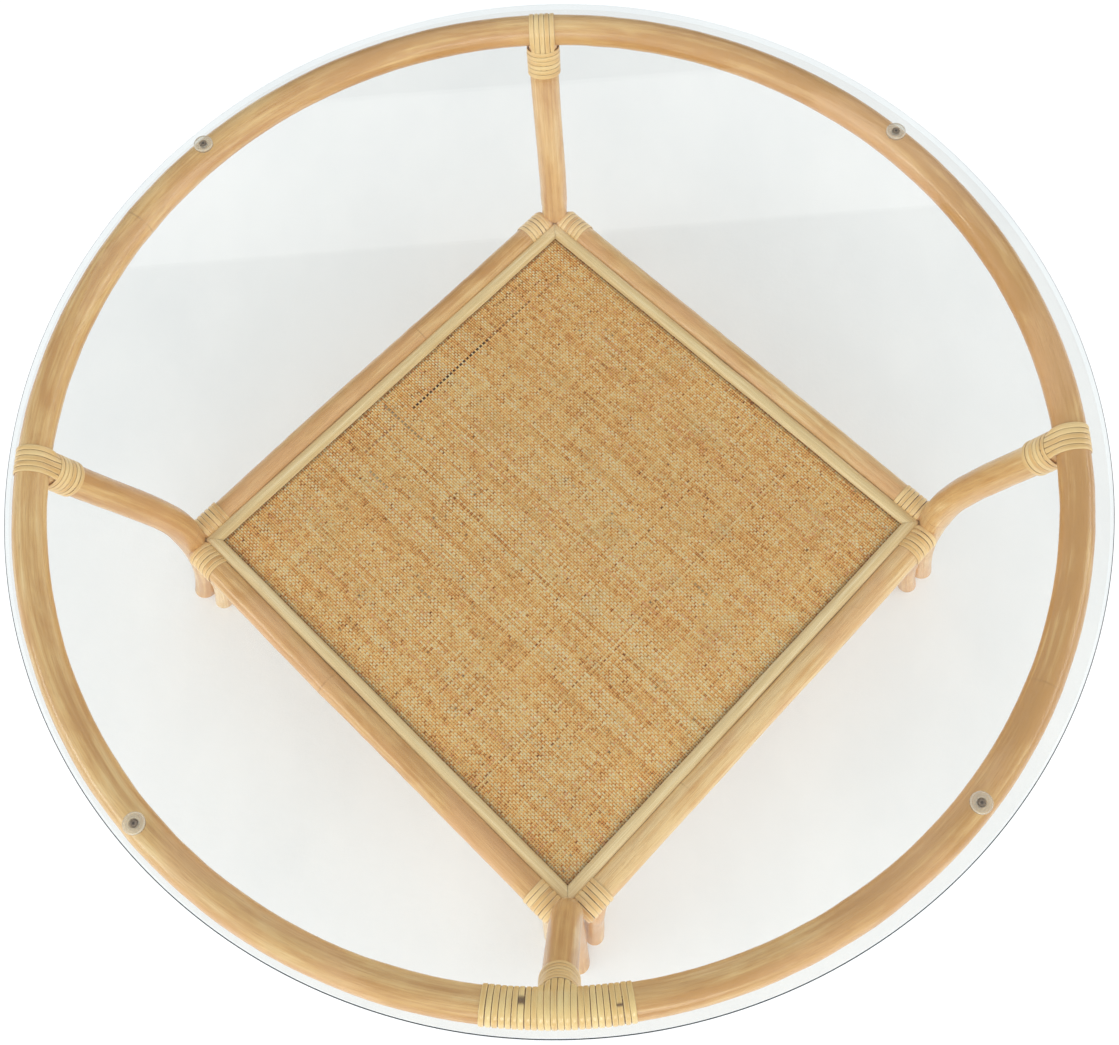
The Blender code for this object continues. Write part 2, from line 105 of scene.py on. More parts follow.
# Pole surface: stations along it, swellings at its nodes and the sawn ends
POLE_SPACING = 0.003
POLE_SIDES = 44
BRACE_SIDES = 36
NODE_SWELL = 0.00022
NODE_SWELL_REACH = 0.008
NODE_GROOVE = 0.00010
NODE_GROOVE_REACH = 0.0011
END_CHAMFER = 0.0009
END_CHAMFER_SHARE = 0.93
FLOOR_LIFT = 0.0001
FOOT_CLEAR_Z = 0.0055

# Tone of a pole, from -1 dark to 1 pale; the hoop's changes round the table
HOOP_TONE = -0.62
HOOP_TONE_SWING = 0.45
HOOP_DARKEST = 25.0
RANDOM_TONE = 0.6
LEG_TONES = {"front": -0.95, "right": -0.05, "back": -0.35, "left": -0.75}

LEG_ANGLES = {"right": 0.0, "back": 90.0, "left": 180.0, "front": 270.0}
SIDE_ANGLES = {"back_right": 45.0, "back_left": 135.0, "front_left": 225.0, "front_right": 315.0}

# Camera, fitted to the photo's outlines
CAMERA_ELEVATION = 66.978
CAMERA_DISTANCE = 1.0218
CAMERA_ROLL = -3.92
CAMERA_PITCH = 3.634
CAMERA_PAN = -0.003
CAMERA_LENS = 39.487
CAMERA_SENSOR_WIDTH = 36.0
TABLE_YAW = -2.676


def middle(*nodes):
    """Centre of the box round these CAD nodes."""
    boxes = [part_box(node) for node in nodes]
    low = np.min([np.array(box[0]) for box in boxes], axis=0)
    high = np.max([np.array(box[1]) for box in boxes], axis=0)
    return 0.5 * (low + high), low, high


GLASS_CENTRE, GLASS_LOW, GLASS_HIGH = middle("glass_top")
HOOP_CENTRE = middle("hoop")[0]
BASE_CENTRE = middle(*["slat_" + place for place in SIDE_ANGLES])[0] * np.array((1.0, 1.0, 0.0))
HOOP_Z = HOOP_CENTRE[2]
HOOP_AXIS = HOOP_CENTRE * np.array((1.0, 1.0, 0.0))


UP = np.array((0.0, 0.0, 1.0))


def unit(vectors):
    return vectors / np.linalg.norm(vectors, axis=-1, keepdims=True)


def plan(degrees):
    """Unit vector in plan at an angle in degrees."""
    return np.array((math.cos(math.radians(degrees)), math.sin(math.radians(degrees)), 0.0))


def triples(*parts):
    """Vectors from their three parts, which are spread to a common shape."""
    return np.stack(np.broadcast_arrays(*parts), axis=-1)


def around(theta, first, second):
    """Directions at angles theta from first towards second."""
    return first * np.cos(theta)[..., None] + second * np.sin(theta)[..., None]


def ease(x, low, high):
    """0 below low, 1 above high, smooth between."""
    f = np.clip((x - low) / (high - low), 0.0, 1.0)
    return f * f * (3.0 - 2.0 * f)


def wander(along, wavelength, waves=5):
    """Smooth random curve of about unit size."""
    total = np.zeros_like(along)
    for _ in range(waves):
        length = wavelength * RNG.uniform(0.5, 1.8)
        total += np.sin(math.tau * (along / length + RNG.random()))
    return total / math.sqrt(0.5 * waves) * 0.6


def distances(points):
    steps = np.linalg.norm(np.diff(points, axis=0), axis=1)
    return np.concatenate(([0.0], np.cumsum(steps)))


def resample(points, spacing):
    """Evenly spaced points on a smooth curve through these."""
    points = np.asarray(points, float)
    for _ in range(3):
        inner = 0.5 * (points[:-1] + points[1:])
        refined = np.empty((len(points) + len(inner), 3))
        refined[0::2] = points
        refined[1::2] = inner
        smooth = refined.copy()
        smooth[1:-1] = 0.25 * refined[:-2] + 0.5 * refined[1:-1] + 0.25 * refined[2:]
        points = smooth
    at = distances(points)
    want = np.linspace(0.0, at[-1], max(2, int(round(at[-1] / spacing)) + 1))
    return np.stack([np.interp(want, at, points[:, axis]) for axis in range(3)], axis=1)


def carry(points, first, closed=False):
    """Tangent, normal and binormal along a path, carried along without twist."""
    if closed:
        tangent = unit(np.roll(points, -1, axis=0) - np.roll(points, 1, axis=0))
    else:
        tangent = unit(np.gradient(points, axis=0))
    normal = np.empty_like(points)
    side = np.asarray(first, float)
    for i, ahead in enumerate(tangent):
        side = side - ahead * np.dot(side, ahead)
        side = side / np.linalg.norm(side)
        normal[i] = side
    return tangent, normal, np.cross(tangent, normal)


def enter(name, data):
    """A new object in the scene."""
    obj = bpy.data.objects.new(name, data)
    bpy.context.scene.collection.objects.link(obj)
    return obj


class Skin:
    """Collects grids of points into one mesh with two vector attributes."""

    def __init__(self):
        self.points = []
        self.grain = []
        self.trait = []
        self.quads = []
        self.caps = []
        self.count = 0

    def grid(self, points, grain, trait, round_rows=False, ends=(False, False)):
        """Rows of points, each row a ring; faces point the way columns x rows turns."""
        rows, columns = points.shape[:2]
        index = self.count + np.arange(rows * columns).reshape(rows, columns)
        self.count += rows * columns
        self.points.append(points.reshape(-1, 3))
        self.grain.append(np.broadcast_to(grain, points.shape).reshape(-1, 3))
        self.trait.append(np.broadcast_to(trait, points.shape).reshape(-1, 3))
        if ends[0]:
            self.caps.append(index[0, ::-1])
        if ends[1]:
            self.caps.append(index[-1])
        if round_rows:
            index = np.vstack((index, index[:1]))
        index = np.hstack((index, index[:, :1]))
        corners = (index[:-1, :-1], index[:-1, 1:], index[1:, 1:], index[1:, :-1])
        self.quads.append(np.stack(corners, axis=-1).reshape(-1, 4))

    def piece(self, name, node, slot, material, body="frame", sharp=40.0):
        quads = np.concatenate(self.quads)
        corners = np.concatenate([quads.ravel()] + self.caps)
        sizes = np.concatenate((np.full(len(quads), 4), [len(cap) for cap in self.caps])).astype(np.int32)
        starts = np.concatenate(([0], np.cumsum(sizes)[:-1])).astype(np.int32)
        mesh = bpy.data.meshes.new(name)
        mesh.vertices.add(self.count)
        mesh.vertices.foreach_set("co", np.concatenate(self.points).astype(np.float32).ravel())
        mesh.loops.add(len(corners))
        mesh.loops.foreach_set("vertex_index", corners.astype(np.int32))
        mesh.polygons.add(len(sizes))
        mesh.polygons.foreach_set("loop_start", starts)
        mesh.polygons.foreach_set("use_smooth", np.ones(len(sizes), bool))
        mesh.update(calc_edges=True)
        for label, values in (("grain", self.grain), ("trait", self.trait)):
            layer = mesh.attributes.new(label, "FLOAT_VECTOR", "POINT")
            layer.data.foreach_set("vector", np.concatenate(values).astype(np.float32).ravel())
        if sharp:
            mesh.set_sharp_from_angle(angle=math.radians(sharp))
        mesh.materials.append(material)
        obj = enter(name, mesh)
        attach(obj, body)
        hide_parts(node)
        return obj


def srgb(red, green, blue):
    """Linear colour of a 0-255 screen colour."""
    out = []
    for value in (red, green, blue):
        value /= 255.0
        out.append(value / 12.92 if value <= 0.04045 else ((value + 0.055) / 1.055) ** 2.4)
    return (*out, 1.0)


# Brown for painted shade in the gaps between turns of peel and where the slats meet the rails, and for the
# dark marks on the splice
SHADE_AND_MARK_BROWN = srgb(96, 60, 30)


class Look:
    """A node tree written as nested calls: a new material's, or a tree that is there."""

    def __init__(self, name, tree=None):
        self.tree = tree
        if tree is None:
            self.material = bpy.data.materials.new(name)
            self.material.use_nodes = True
            self.tree = self.material.node_tree
            self.tree.nodes.clear()
            self.out = self.tree.nodes.new("ShaderNodeOutputMaterial")

    def add(self, kind, inputs=None, **settings):
        node = self.tree.nodes.new(kind)
        for key, value in settings.items():
            setattr(node, key, value)
        for key, value in (inputs or {}).items():
            self.put(node.inputs[key], value)
        return node

    def put(self, socket, value):
        if isinstance(value, bpy.types.NodeSocket):
            self.tree.links.new(value, socket)
        else:
            socket.default_value = value

    def math(self, operation, first, second=0.0, third=0.0, clamp=False):
        inputs = {0: first, 1: second, 2: third}
        return self.add("ShaderNodeMath", inputs, operation=operation, use_clamp=clamp).outputs[0]

    def between(self, value, low, high, start=0.0, end=1.0):
        """Smooth map of a value's range on to start..end."""
        inputs = {0: value, 1: low, 2: high, 3: start, 4: end}
        return self.add("ShaderNodeMapRange", inputs, interpolation_type="SMOOTHSTEP").outputs[0]

    def surface(self):
        """The two vectors that every built point carries, the second one split."""
        nodes = [self.add("ShaderNodeAttribute", attribute_name=name) for name in ("grain", "trait")]
        return nodes[0].outputs["Vector"], self.split(nodes[1].outputs["Vector"])

    def split(self, vector):
        return self.add("ShaderNodeSeparateXYZ", {0: vector}).outputs

    def position(self):
        return self.add("ShaderNodeNewGeometry").outputs["Position"]

    def noise(self, vector, stretch, detail=3.0, roughness=0.55, distortion=0.0):
        """Noise over a vector stretched by three factors."""
        vector = self.add("ShaderNodeVectorMath", {0: vector, 1: stretch}, operation="MULTIPLY").outputs[0]
        inputs = {"Vector": vector, "Scale": 1.0, "Detail": detail, "Roughness": roughness}
        inputs["Distortion"] = distortion
        return self.add("ShaderNodeTexNoise", inputs).outputs[0]

    def mix(self, share, first, second):
        return self.add("ShaderNodeMix", {0: share, 6: first, 7: second}, data_type="RGBA").outputs[2]

    def tint(self, colour, value, low, high, start, end, other):
        """Mixes in another colour by a value's place in a range."""
        return self.mix(self.between(value, low, high, start, end), colour, other)

    def ramp(self, value, *stops):
        node = self.add("ShaderNodeValToRGB", {0: value})
        elements = node.color_ramp.elements
        while len(elements) < len(stops):
            elements.new(0.5)
        for element, (position, colour) in zip(elements, stops):
            element.position = position
            element.color = colour
        return node.outputs[0]

    def bump(self, height, strength, distance):
        inputs = {"Height": height, "Strength": strength, "Distance": distance}
        return self.add("ShaderNodeBump", inputs).outputs[0]

    def shader(self, **inputs):
        named = {key.replace("_", " "): value for key, value in inputs.items()}
        return self.add("ShaderNodeBsdfPrincipled", named).outputs[0]

    def principled(self, **inputs):
        self.put(self.out.inputs[0], self.shader(**inputs))
        return self.material


def pole_look(name, pale, body, deep, blush):
    """Sanded, varnished rattan: long fibres, lengthwise bands, blotches, node rings."""
    look = Look(name)
    grain, trait = look.surface()
    fibre = look.noise(grain, (1500.0, 1500.0, 22.0), detail=4.0, roughness=0.6)
    hair = look.noise(grain, (3600.0, 3600.0, 60.0), detail=2.0)
    band = look.noise(grain, (210.0, 210.0, 5.0), detail=3.0)
    blotch = look.noise(grain, (55.0, 55.0, 16.0), detail=4.0, distortion=0.6)
    cloud = look.noise(grain, (18.0, 18.0, 7.0), detail=2.0)
    value = look.math("MULTIPLY_ADD", band, 0.55, look.math("MULTIPLY", blotch, 0.45))
    value = look.math("MULTIPLY_ADD", trait[1], 0.13, value)
    colour = look.ramp(value, (0.36, deep), (0.49, body), (0.61, pale))
    colour = look.tint(colour, cloud, 0.48, 0.66, 0.0, 0.70, blush)
    colour = look.tint(colour, fibre, 0.28, 0.62, 0.60, 0.0, deep)
    colour = look.tint(colour, hair, 0.58, 0.70, 0.0, 0.45, srgb(164, 108, 62))
    broken = look.between(blotch, 0.40, 0.60, 0.04, 0.30)
    near_ring = look.between(look.math("ABSOLUTE", trait[0]), 0.0003, 0.0014, 1.0, 0.0)
    ring = look.math("MULTIPLY", near_ring, broken)
    colour = look.mix(ring, colour, srgb(140, 92, 52))
    shine = look.between(look.noise(grain, (120.0, 120.0, 30.0)), 0.3, 0.7, 0.34, 0.50)
    relief = look.math("MULTIPLY_ADD", hair, 0.6, fibre)
    return look.principled(
        Base_Color=colour, Roughness=shine, Coat_Weight=0.55, Coat_Roughness=0.15,
        Normal=look.bump(relief, 0.22, 0.0004)
    )


def peel_look(name, pale, body, deep, gloss):
    """Glossy skin of split cane, laid as thin strips with pale rounded edges, painted shade at their very
    edges and on the sleeve beneath.
    """
    look = Look(name)
    grain, trait = look.surface()
    fibre = look.noise(grain, (1400.0, 60.0, 18.0), detail=3.0)
    band = look.noise(grain, (90.0, 40.0, 14.0), detail=3.0)
    value = look.math("MULTIPLY_ADD", band, 0.7, look.math("MULTIPLY", trait[1], 0.30))
    colour = look.ramp(value, (0.22, deep), (0.42, body), (0.66, pale))
    colour = look.tint(colour, fibre, 0.45, 0.75, 0.0, 0.35, deep)
    side = look.math("ABSOLUTE", trait[0])
    colour = look.tint(colour, side, 0.20, 0.38, 0.0, 0.55, pale)
    # Painted shade: each strip's very edges turn brown, where neighbouring turns meet
    colour = look.tint(colour, side, 0.42, 0.50, 0.0, 0.70, srgb(150, 106, 62))
    # Third trait part: the sleeve's painted shade between turns, and the dark marks on the splice
    colour = look.tint(colour, trait[2], 0.0, 1.0, 0.0, 0.92, SHADE_AND_MARK_BROWN)
    return look.principled(
        Base_Color=colour, Roughness=look.between(fibre, 0.3, 0.7, gloss, gloss + 0.12),
        Coat_Weight=0.35, Coat_Roughness=0.12, Normal=look.bump(fibre, 0.25, 0.0003)
    )


def slat_look():
    """Half-round cane moulding, pale and faintly green, with open end-to-end grain and painted shade along
    its outer edge.
    """
    look = Look("slat")
    grain, trait = look.surface()
    fibre = look.noise(grain, (1600.0, 1600.0, 28.0), detail=4.0, roughness=0.65)
    band = look.noise(grain, (260.0, 260.0, 7.0), detail=3.0)
    spot = look.noise(grain, (900.0, 900.0, 260.0), detail=2.0)
    value = look.math("MULTIPLY_ADD", trait[1], 0.08, band)
    colour = look.ramp(
        value, (0.34, srgb(232, 205, 150)), (0.52, srgb(246, 223, 172)),
        (0.68, srgb(254, 236, 192))
    )
    colour = look.tint(colour, fibre, 0.32, 0.62, 0.45, 0.0, srgb(206, 172, 116))
    colour = look.tint(colour, spot, 0.70, 0.80, 0.0, 0.40, srgb(150, 120, 74))
    # Painted shade along the slat's outer edge, where it runs into the rail
    colour = look.tint(colour, trait[2], 0.15, 0.60, 0.0, 0.85, SHADE_AND_MARK_BROWN)
    return look.principled(
        Base_Color=colour, Roughness=look.between(fibre, 0.3, 0.7, 0.42, 0.56), Coat_Weight=0.12,
        Coat_Roughness=0.25, Normal=look.bump(fibre, 0.25, 0.0004)
    )


def weave_look():
    """Woven flat cane core: golden strands that change tone along and between, with painted shade at their
    sides, under crossings and beside the slats.
    """
    look = Look("woven_cane")
    grain, trait = look.surface()
    fibre = look.noise(grain, (2600.0, 2600.0, 120.0), detail=2.0)
    patch = look.noise(grain, (30.0, 30.0, 30.0), detail=3.0)
    # The first trait part carries painted highlight on strand tops and painted shade at their sides and under
    # crossings, all through this ramp
    value = look.math("ADD", trait[0], look.math("MULTIPLY_ADD", patch, 0.10, -0.05))
    colour = look.ramp(
        value, (0.00, srgb(116, 60, 22)), (0.25, srgb(222, 142, 60)), (0.50, srgb(255, 199, 116)),
        (0.75, srgb(255, 224, 150)), (1.00, srgb(255, 243, 198))
    )
    cast = look.noise(grain, (24.0, 24.0, 14.0), detail=2.0)
    colour = look.tint(colour, cast, 0.54, 0.68, 0.0, 0.30, srgb(204, 172, 108))
    colour = look.tint(colour, fibre, 0.35, 0.7, 0.20, 0.0, srgb(190, 120, 60))
    colour = look.tint(colour, trait[1], 0.5, 0.9, 0.0, 0.75, srgb(236, 170, 122))
    # Third trait part darkens to deep brown: dark-skinned strands and spots, and painted shade on the strands
    # beside the slats
    colour = look.mix(look.math("MULTIPLY", trait[2], 0.97, clamp=True), colour, srgb(74, 34, 8))
    return look.principled(
        Base_Color=colour, Roughness=look.between(fibre, 0.3, 0.7, 0.50, 0.66),
        Specular_IOR_Level=0.25, Normal=look.bump(fibre, 0.3, 0.0003)
    )


def board_look():
    """Thin plywood under the weave, with its layers showing at the edge."""
    look = Look("plywood")
    place = look.position()
    turned = look.add("ShaderNodeVectorRotate", {"Vector": place, "Angle": math.radians(45.0)}).outputs[0]
    grain = look.noise(turned, (260.0, 6.0, 260.0), detail=4.0)
    height = look.split(place)[2]
    layer = look.math("FRACT", look.math("MULTIPLY", height, 1.0 / PLY_THICKNESS))
    colour = look.ramp(grain, (0.3, srgb(172, 128, 82)), (0.7, srgb(206, 166, 116)))
    colour = look.tint(colour, layer, 0.45, 0.55, 0.0, 0.45, srgb(126, 86, 50))
    return look.principled(
        Base_Color=colour, Roughness=0.7, Normal=look.bump(grain, 0.3, 0.0005)
    )


# Spreads a turned piece's radii in metres over a colour ramp's 0..1
RADIUS_SCALE = 100.0
UNBENDING_IOR = 1.001


def clear_look(
    name, tint, roughness, bump_scale, bump_strength, coat, transmission=1.0, grazing=None, turned=None
):
    """Clear material that lets light through to what lies below it.

    The body bends no light, so what lies below shows where it is, and the coat
    reflects. grazing is the tint seen edge-on, painted as shade, and turned the tints
    (radius, colour) of a turned piece, which carry painted highlight and shade.
    """
    look = Look(name)
    if grazing is not None:
        # Painted shade: the tint darkens towards the grazing colour where the surface is seen edge-on
        facing = look.add("ShaderNodeLayerWeight", {"Blend": 0.5}).outputs["Facing"]
        tint = look.mix(look.between(facing, 0.10, 0.24), tint, grazing)
    if turned is not None:
        radius = look.math("MULTIPLY", look.surface()[1][0], RADIUS_SCALE)
        tint = look.ramp(radius, *((RADIUS_SCALE * reach, tone) for reach, tone in turned))
    place = look.position()
    ripple = look.noise(place, (bump_scale, bump_scale, bump_scale), detail=2.0)
    smear = look.noise(place, (9.0, 14.0, 9.0), detail=5.0, roughness=0.7)
    relief = look.bump(ripple, bump_strength, 0.0005)
    shader = look.shader(
        Base_Color=tint, IOR=UNBENDING_IOR, Transmission_Weight=transmission, Coat_Weight=coat,
        Roughness=look.between(smear, 0.35, 0.75, roughness, roughness + 0.01),
        Coat_Roughness=look.between(smear, 0.35, 0.75, 0.0, 0.03), Coat_Normal=relief, Normal=relief
    )
    path = look.add("ShaderNodeLightPath")
    open_way = look.add("ShaderNodeBsdfTransparent", {0: (0.97, 0.985, 0.975, 1.0)})
    passing = look.math("MAXIMUM", path.outputs["Is Shadow Ray"], path.outputs["Is Diffuse Ray"])
    mixed = look.add("ShaderNodeMixShader", {0: passing, 1: shader, 2: open_way.outputs[0]})
    look.put(look.out.inputs[0], mixed.outputs[0])
    return look.material


def nail_look():
    """Dull steel, darker towards the middle of the head."""
    look = Look("nail_steel")
    place = look.position()
    wear = look.noise(place, (900.0, 900.0, 900.0), detail=4.0)
    radius = look.math("MULTIPLY", look.surface()[1][0], RADIUS_SCALE)
    colour = look.ramp(
        radius, (0.08, srgb(58, 48, 42)), (0.16, srgb(150, 132, 118)), (0.25, srgb(132, 114, 98))
    )
    colour = look.tint(colour, wear, 0.35, 0.7, 0.0, 0.5, srgb(96, 82, 72))
    return look.principled(
        Base_Color=colour, Metallic=0.2, Roughness=look.between(wear, 0.3, 0.7, 0.35, 0.6),
        Normal=look.bump(wear, 0.4, 0.0003)
    )


def floor_look():
    """White plastered floor, faintly mottled."""
    look = Look("floor")
    place = look.position()
    wash = look.noise(place, (5.0, 3.0, 1.0), detail=6.0, roughness=0.62)
    speck = look.noise(place, (60.0, 60.0, 1.0), detail=5.0, roughness=0.7)
    colour = look.ramp(wash, (0.3, srgb(214, 219, 224)), (0.7, srgb(226, 230, 234)))
    colour = look.tint(colour, speck, 0.55, 0.75, 0.0, 0.12, srgb(208, 211, 214))
    return look.principled(
        Base_Color=colour, Roughness=0.85, Specular_IOR_Level=0.1,
        Emission_Color=(1.0, 1.0, 1.0, 1.0), Emission_Strength=0.36,
        Normal=look.bump(speck, 0.25, 0.002)
    )


PALE_TAN = srgb(249, 218, 162)
BODY_TAN = srgb(235, 192, 128)
DEEP_TAN = srgb(209, 156, 92)
BLUSH_TAN = srgb(234, 184, 132)
POLE = pole_look("rattan_pole", PALE_TAN, BODY_TAN, DEEP_TAN, BLUSH_TAN)
PEEL = peel_look("split_peel", srgb(252, 222, 164), srgb(240, 198, 132), srgb(204, 152, 90), 0.30)
SKIN = peel_look("glossy_peel", srgb(252, 224, 160), srgb(240, 200, 130), srgb(206, 158, 92), 0.20)
SLAT = slat_look()
WEAVE = weave_look()
BOARD = board_look()
GLASS = clear_look("glass", (0.825, 0.835, 0.815, 1.0), 0.0, 3.0, 0.004, 1.0)
GLASS_RIM = clear_look("glass_rim", (0.90, 0.94, 0.95, 1.0), 0.05, 40.0, 0.05, 0.0)
# The arris goes nearly black where seen edge-on, a painted dark line standing in for light bent away at the
# glass's polished edge
GLASS_ARRIS = clear_look(
    "glass_arris", (0.62, 0.66, 0.70, 1.0), 0.3, 200.0, 0.1, 0.0, 0.5, grazing=(0.01, 0.012, 0.015, 1.0)
)
# Bumper tints by radius: painted shade in the grey well round the nail, the plastic's pale body, a painted
# highlight on the white rim and painted shade on the brown outer edge
PLASTIC_SHADE_AND_HIGHLIGHT_BANDS = (
    (0.0034, srgb(150, 142, 136)), (0.0040, srgb(236, 232, 224)), (0.0052, srgb(230, 224, 214)),
    (0.0076, srgb(236, 230, 220)), (0.0081, srgb(255, 255, 250)), (0.0087, srgb(255, 252, 244)),
    (0.0090, srgb(150, 128, 100)),
)
PLASTIC = clear_look(
    "clear_plastic", (0.90, 0.90, 0.86, 1.0), 0.15, 300.0, 0.1, 1.0, 0.72, turned=PLASTIC_SHADE_AND_HIGHLIGHT_BANDS
)
NAIL = nail_look()


def leg_centre(place, height):
    """Point of a leg's centre line: bowed out above the waist and below it."""
    angle = LEG_ANGLES[place]
    waist = WAIST_REACH - (FRONT_WAIST_TIGHTER if place == "front" else 0.0)
    drop = max(0.0, (WAIST_Z - height) / WAIST_Z)
    rise = max(0.0, (height - WAIST_Z) / (HOOP_Z - WAIST_Z))
    bow = (1.0 + LEG_CURL) * rise ** 2 - LEG_CURL * rise ** 3
    share = ease(rise, 0.0, 1.0)
    reach = waist + (FOOT_REACH - waist) * drop ** 2 + (HOOP_RADIUS - waist) * bow
    reach += LEG_BULGE.get(place, 0.0) * 16.0 * rise ** 2 * (1.0 - rise) ** 2
    point = BASE_CENTRE * (1.0 - share) + HOOP_AXIS * share
    point = point + plan(angle + share * TOP_TURN.get(place, 0.0)) * reach
    point = point + np.array(FOOT_STRAY.get(place, (0.0, 0.0, 0.0))) * drop * drop
    point[2] = height
    return point


def leg_top_angle(place):
    return LEG_ANGLES[place] + TOP_TURN.get(place, 0.0)


def leg_top(place):
    top = HOOP_CENTRE + plan(leg_top_angle(place)) * HOOP_RADIUS
    return top, unit(top - leg_centre(place, LEG_STRAIGHT_Z))


def side_point(angle, along, out, height):
    point = BASE_CENTRE + plan(angle) * out + plan(angle + 90.0) * along
    point[2] = height
    return point


def nearest(along, marks):
    """Signed distance to the nearest mark."""
    gaps = along[:, None] - np.asarray(marks)[None, :]
    pick = np.argmin(np.abs(gaps), axis=1)
    return gaps[np.arange(len(along)), pick]


def pole(name, points, radii, node, first, rings, tone, closed=False, sides=POLE_SIDES, feet=(False, False)):
    """A round pole swept along points, with slight swellings at its node rings.

    feet says which of its two ends are sawn level at the floor.
    """
    count = len(points)
    at = distances(points)
    tangent, normal, binormal = carry(points, first, closed)
    theta = np.linspace(0.0, math.tau, sides, endpoint=False)
    ring = nearest(at, rings)
    swell = NODE_SWELL * np.exp(-(ring / NODE_SWELL_REACH) ** 2)
    swell -= NODE_GROOVE * np.exp(-(ring / NODE_GROOVE_REACH) ** 2)
    fade = np.ones(count) if closed else ease(np.minimum(at, at[-1] - at), 0.0, 0.03)
    radius = radii * (1.0 + 0.006 * wander(at, 0.12) * fade) + swell
    lean = math.tau * wander(at, 0.5)
    oval = 1.0 + 0.008 * np.cos(2.0 * (theta[None, :] - lean[:, None]))
    lump = 1.0 + 0.004 * np.cos(theta[None, :] * 3.0 + 8.0 * wander(at, 0.09)[:, None])
    reach = radius[:, None] * oval * lump
    out = around(theta, normal[:, None, :], binormal[:, None, :])
    skin = points[:, None, :] + out * reach[:, :, None]
    straight = triples(reach * np.cos(theta), reach * np.sin(theta), at[:, None])
    seed = RNG.uniform(0.0, 8.0, 3)
    trait = triples(ring[:, None], np.reshape(tone, (-1, 1)), 0.0)
    if not closed:
        skin, straight, trait = round_ends(skin, straight, trait, points, tangent, feet)
    build = Skin()
    build.grid(skin, straight + seed, trait, round_rows=closed, ends=(not closed, not closed))
    return build.piece(name, node, "pole", POLE)


def round_ends(skin, straight, trait, points, tangent, feet):
    """Add a small chamfer ring at each end; a foot end is cut level at the floor."""
    for end, outward in ((0, -1.0), (-1, 1.0)):
        centre = points[end]
        way = tangent[end] * outward
        ring = skin[end]
        if feet[end]:
            lift = (END_CHAMFER + FLOOR_LIFT - ring[:, 2]) / way[2]
            ring = ring + way[None, :] * lift[:, None]
            tip = centre + way * (FLOOR_LIFT - centre[2]) / way[2]
            low = ring + way[None, :] * ((FLOOR_LIFT - ring[:, 2]) / way[2])[:, None]
            small = tip + (low - tip) * END_CHAMFER_SHARE
        else:
            small = centre + (ring - centre) * END_CHAMFER_SHARE
            ring = ring - way * END_CHAMFER
        if end == 0:
            skin = np.concatenate((small[None], ring[None], skin[1:]))
            straight = np.concatenate((straight[:1], straight))
            trait = np.concatenate((trait[:1], trait))
        else:
            skin = np.concatenate((skin[:-1], ring[None], small[None]))
            straight = np.concatenate((straight, straight[-1:]))
            trait = np.concatenate((trait, trait[-1:]))
    return skin, straight, trait


def make_hoop():
    turns = np.linspace(0.0, math.tau, HOOP_STATIONS, endpoint=False) + math.radians(LEG_ANGLES["front"])
    points = HOOP_CENTRE + triples(np.cos(turns), np.sin(turns), 0.0) * HOOP_RADIUS
    rings = np.array(HOOP_NODE_RINGS) * math.tau * HOOP_RADIUS
    tone = HOOP_TONE - HOOP_TONE_SWING * np.cos(turns - math.radians(HOOP_DARKEST))
    pole("hoop_pole", points, HOOP_POLE, "hoop", UP, rings, tone, closed=True)


def make_legs():
    for place, angle in LEG_ANGLES.items():
        heights = np.concatenate(([0.0], np.linspace(0.008, LEG_STRAIGHT_Z, 26)))
        points = [leg_centre(place, height) for height in heights]
        top, way = leg_top(place)
        end = top - way * LEG_END_SHORT_OF_HOOP
        points += [points[-1] * (1.0 - share) + end * share for share in LEG_TOP_STEPS]
        points = resample(points, POLE_SPACING)
        keep = (points[:, 2] > FOOT_CLEAR_Z) | (np.arange(len(points)) == 0)
        points = points[keep]
        radii = LEG_POLE - (LEG_POLE - FOOT_POLE) * np.maximum(0.0, (WAIST_Z - points[:, 2]) / WAIST_Z)
        length = distances(points)[-1]
        rings = length * np.array((RNG.uniform(0.2, 0.25), 0.49))
        tone = LEG_TONES[place]
        pole("leg_pole_" + place, points, radii, "leg_" + place, plan(angle), rings, tone, feet=(True, False))


def make_rails():
    reach = RAIL_DISTANCE - RAIL_END_FROM_CORNER
    for place, angle in SIDE_ANGLES.items():
        along = np.linspace(-reach, reach, RAIL_STATIONS)
        sag = RAIL_SAG * wander(along, 0.5)
        points = np.array([side_point(angle, a, RAIL_DISTANCE + s, RAIL_Z) for a, s in zip(along, sag)])
        rings = 2.0 * reach * np.array((RNG.uniform(0.25, 0.4),))
        tone = RNG.uniform(-RANDOM_TONE, RANDOM_TONE)
        pole("rail_pole_" + place, points, RAIL_POLE, "rail_" + place, plan(angle), rings, tone)


